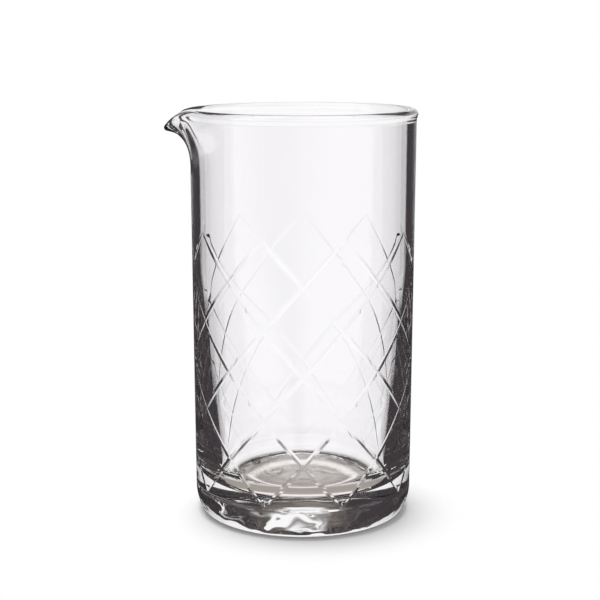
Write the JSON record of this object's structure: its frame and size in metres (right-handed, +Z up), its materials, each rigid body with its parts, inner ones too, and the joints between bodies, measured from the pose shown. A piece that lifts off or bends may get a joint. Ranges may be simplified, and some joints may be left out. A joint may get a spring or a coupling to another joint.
{
  "type": "mixing glass",
  "caption": "Heavy-based cylindrical mixing glass with a cut diamond lattice, a rounded rim and a pulled pouring spout, for stirring drinks over ice.",
  "frame": {"origin": "middle of the flat foot, on the axis of the glass", "axes": "+Z up along the axis, -X towards the spout"},
  "size_m": [0.1012, 0.0916, 0.165],
  "materials": {
    "clear_glass": "clear colourless glass, fire-polished, with polished mitre cuts"
  },
  "bodies": {
    "root": {"mixing_glass": "clear_glass"}
  },
  "joints": []
}
